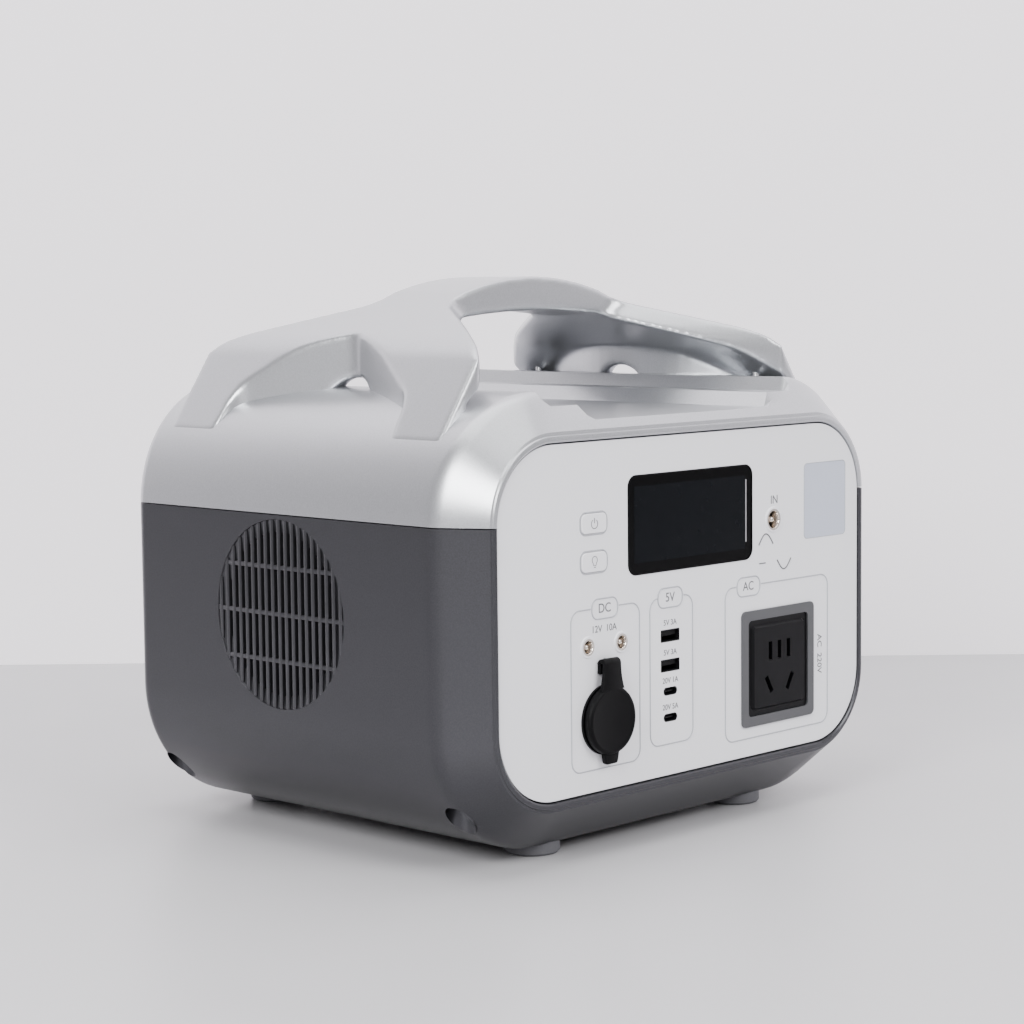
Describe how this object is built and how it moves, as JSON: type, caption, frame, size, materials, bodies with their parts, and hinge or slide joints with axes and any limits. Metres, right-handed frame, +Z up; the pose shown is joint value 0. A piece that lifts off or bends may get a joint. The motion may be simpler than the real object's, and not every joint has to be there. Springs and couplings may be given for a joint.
{
  "type": "portable power station",
  "caption": "Box-shaped portable power station with a fixed arch handle, a front panel of ports, screen and lamp, and round side vents.",
  "frame": {"origin": "on the resting surface, under the middle of the bounding box, within 2 mm", "axes": "+X to the right along the front panel, +Y from the front panel into the depth, +Z up"},
  "size_m": [0.263, 0.2289, 0.236],
  "materials": {
    "dark_metallic": "dark grey metallic, satin",
    "silver_metallic": "silver metallic, satin",
    "panel_white": "satin",
    "rear_dark": "satin",
    "screw_steel": "zinc plated",
    "screen_black": "glossy",
    "module": "matte",
    "lens": "frosted",
    "board": "solder mask",
    "button": "satin",
    "jack_black": "moulded",
    "frame_grey": "satin",
    "brass": "plated",
    "rubber": "moulded",
    "port_steel": "plated",
    "tray": "moulded",
    "cell_wrap": "metal can in shrink wrap",
    "nickel": "plain",
    "foam": "soft",
    "aluminium": "plain",
    "ferrite": "matte",
    "can": "sleeved"
  },
  "bodies": {
    "base": {"lower_shell": "dark_metallic", "upper_shell": "silver_metallic", "handle": "silver_metallic", "front_panel": "panel_white", "rear_panel": "rear_dark", "shell_screws": "screw_steel", "handle_screws": "screw_steel", "foot_screws": "screw_steel", "lcd_window": "screen_black", "lcd_module": "module", "led_lens": "lens", "led_board": "board", "button_board": "board", "usb_board": "board", "bms_board": "board", "inverter_board": "board", "in_jack": "jack_black", "dc_jack_left": "jack_black", "dc_jack_right": "jack_black", "car_socket": "jack_black", "ac_socket": "jack_black", "fan_frame": "jack_black", "ac_frame": "frame_grey", "ac_contacts": "brass", "car_contact": "brass", "cap_strap": "rubber", "foot_front_left": "rubber", "foot_rear_left": "rubber", "foot_front_right": "rubber", "foot_rear_right": "rubber", "usb_a_upper": "port_steel", "usb_a_lower": "port_steel", "usb_c_upper": "port_steel", "usb_c_lower": "port_steel", "battery_tray": "tray", "holder_front": "tray", "holder_rear": "tray", "battery_cells": "cell_wrap", "nickel_strips": "nickel", "bms_pad": "foam", "inverter_bracket": "aluminium", "heat_sinks": "aluminium", "transformer": "ferrite", "capacitors": "can"},
    "power_button": {"power_button": "button"},
    "light_button": {"light_button": "button"},
    "socket_cap": {"socket_cap": "rubber"},
    "fan_rotor": {"fan_rotor": "jack_black"}
  },
  "joints": [
    {"name": "power_press", "type": "slide", "parent": "base", "child": "power_button", "axis": [0, 1, 0], "range_m": [0, 0.001], "stiffness_N_per_m": 600},
    {"name": "light_press", "type": "slide", "parent": "base", "child": "light_button", "axis": [0, 1, 0], "range_m": [0, 0.001], "stiffness_N_per_m": 600},
    {"name": "cap_swing", "type": "hinge", "parent": "base", "child": "socket_cap", "pos_m": [-0.055, -0.1164, 0.0725], "axis": [-1, 0, 0], "range_deg": [0, 110]},
    {"name": "fan_spin", "type": "hinge", "parent": "base", "child": "fan_rotor", "pos_m": [-0.118, 0, 0.098], "axis": [1, 0, 0], "continuous": true}
  ]
}
